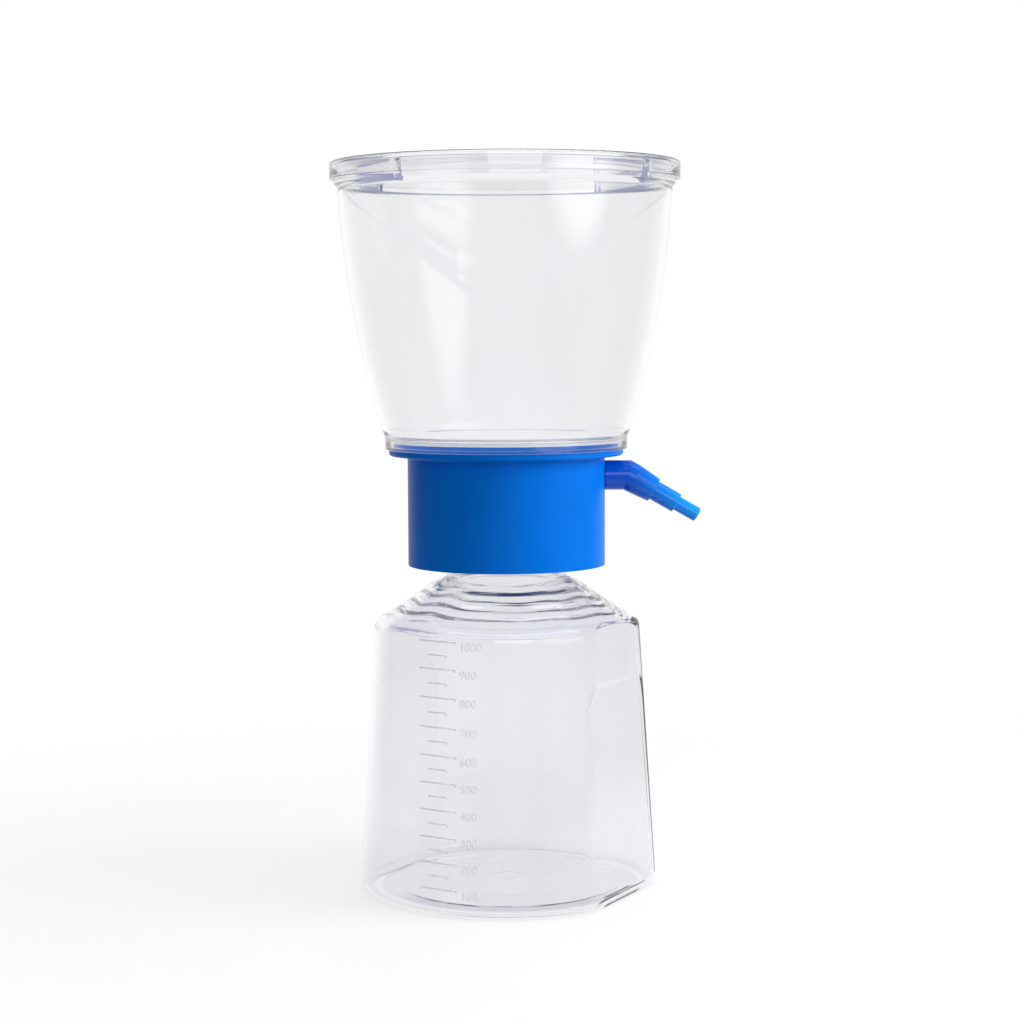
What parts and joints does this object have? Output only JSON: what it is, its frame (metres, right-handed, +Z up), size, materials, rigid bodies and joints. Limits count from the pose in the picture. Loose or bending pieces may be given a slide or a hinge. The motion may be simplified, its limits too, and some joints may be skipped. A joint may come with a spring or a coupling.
{
  "type": "vacuum filtration unit",
  "caption": "Clear lidded funnel with a filter membrane on a blue threaded collar with a bent hose connector, screwed on a clear receiver bottle with grip sides.",
  "frame": {"origin": "middle of the surface that the bottle stands on, on the axis of its neck", "axes": "+Z up along the neck's axis, +X towards the hose connector"},
  "size_m": [0.1501, 0.1416, 0.2964],
  "materials": {
    "bottle_clear": "clear, glossy moulded polystyrene",
    "gasket": "matte silicone",
    "collar_blue": "satin moulded plastic",
    "plug_fibre": "matte fibre",
    "connector_blue": "glossy moulded plastic",
    "plate_white": "satin moulded plastic, uncoloured",
    "membrane_white": "matte porous sheet",
    "funnel_clear": "clear, glossy moulded polystyrene",
    "lid_clear": "clear, glossy moulded polystyrene"
  },
  "bodies": {
    "bottle": {"bottle": "bottle_clear"},
    "gasket": {"neck_gasket": "gasket"},
    "filter_head": {"filter_base": "collar_blue", "port_plug": "plug_fibre", "hose_connector": "connector_blue", "support_plate": "plate_white", "membrane": "membrane_white", "funnel": "funnel_clear"},
    "lid": {"lid": "lid_clear"}
  },
  "joints": [
    {"name": "head_rise", "type": "slide", "parent": "bottle", "child": "gasket", "axis": [0, 0, 1], "range_m": [0, 0.00945]},
    {"name": "head_turn", "type": "hinge", "parent": "gasket", "child": "filter_head", "pos_m": [0, 0, 0.158], "axis": [0, 0, 1], "range_deg": [0, 810]},
    {"name": "lid_lift", "type": "slide", "parent": "filter_head", "child": "lid", "axis": [0, 0, 1], "range_m": [0, 0.05]}
  ],
  "couplings": [
    {"joint": "head_rise", "follows": "head_turn", "m_per_rad": 0.00066845}
  ]
}
